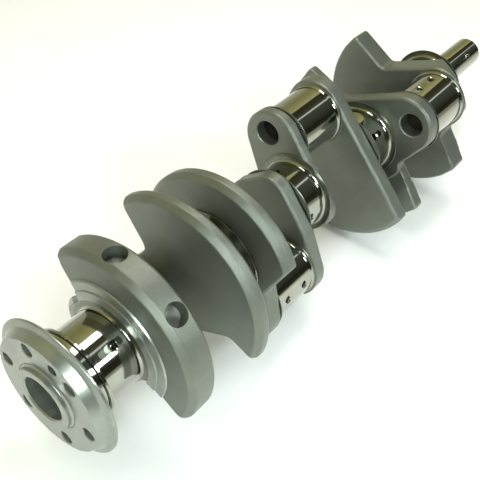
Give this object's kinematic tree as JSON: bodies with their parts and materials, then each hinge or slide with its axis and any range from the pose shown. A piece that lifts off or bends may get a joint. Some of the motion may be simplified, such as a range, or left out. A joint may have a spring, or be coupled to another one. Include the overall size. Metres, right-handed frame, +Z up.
{
  "type": "crankshaft",
  "caption": "Forged cross-plane V8 crankshaft with drilled crankpins, fan counterweights, a bolt flange with a pilot bore, and a keyed snout.",
  "frame": {"origin": "centre of the bottom of the bounding box, under the shaft as it lies on its two lower throws", "axes": "+X along the crank axis from the flywheel flange to the snout, +Z up"},
  "size_m": [0.6264, 0.1646, 0.1676],
  "materials": {
    "forged_steel": "shot-peened satin grey",
    "machined_steel": "turned satin",
    "ground_steel": "ground and polished"
  },
  "bodies": {
    "root": {"pilot_hub": "machined_steel", "rear_flange": "machined_steel", "rear_seal_journal": "ground_steel", "oil_slinger": "ground_steel", "thrust_collar": "machined_steel", "main_journal_5": "ground_steel", "main_journal_4": "ground_steel", "main_journal_3": "ground_steel", "main_journal_2": "ground_steel", "main_journal_1": "ground_steel", "crankpin_4": "ground_steel", "crankpin_3": "ground_steel", "crankpin_2": "ground_steel", "crankpin_1": "ground_steel", "counterweight_8": "forged_steel", "counterweight_7": "forged_steel", "counterweight_6": "forged_steel", "web_5": "forged_steel", "web_4": "forged_steel", "counterweight_3": "forged_steel", "counterweight_2": "forged_steel", "counterweight_1": "forged_steel", "timing_gear_seat": "ground_steel", "damper_seat": "ground_steel"}
  },
  "joints": []
}
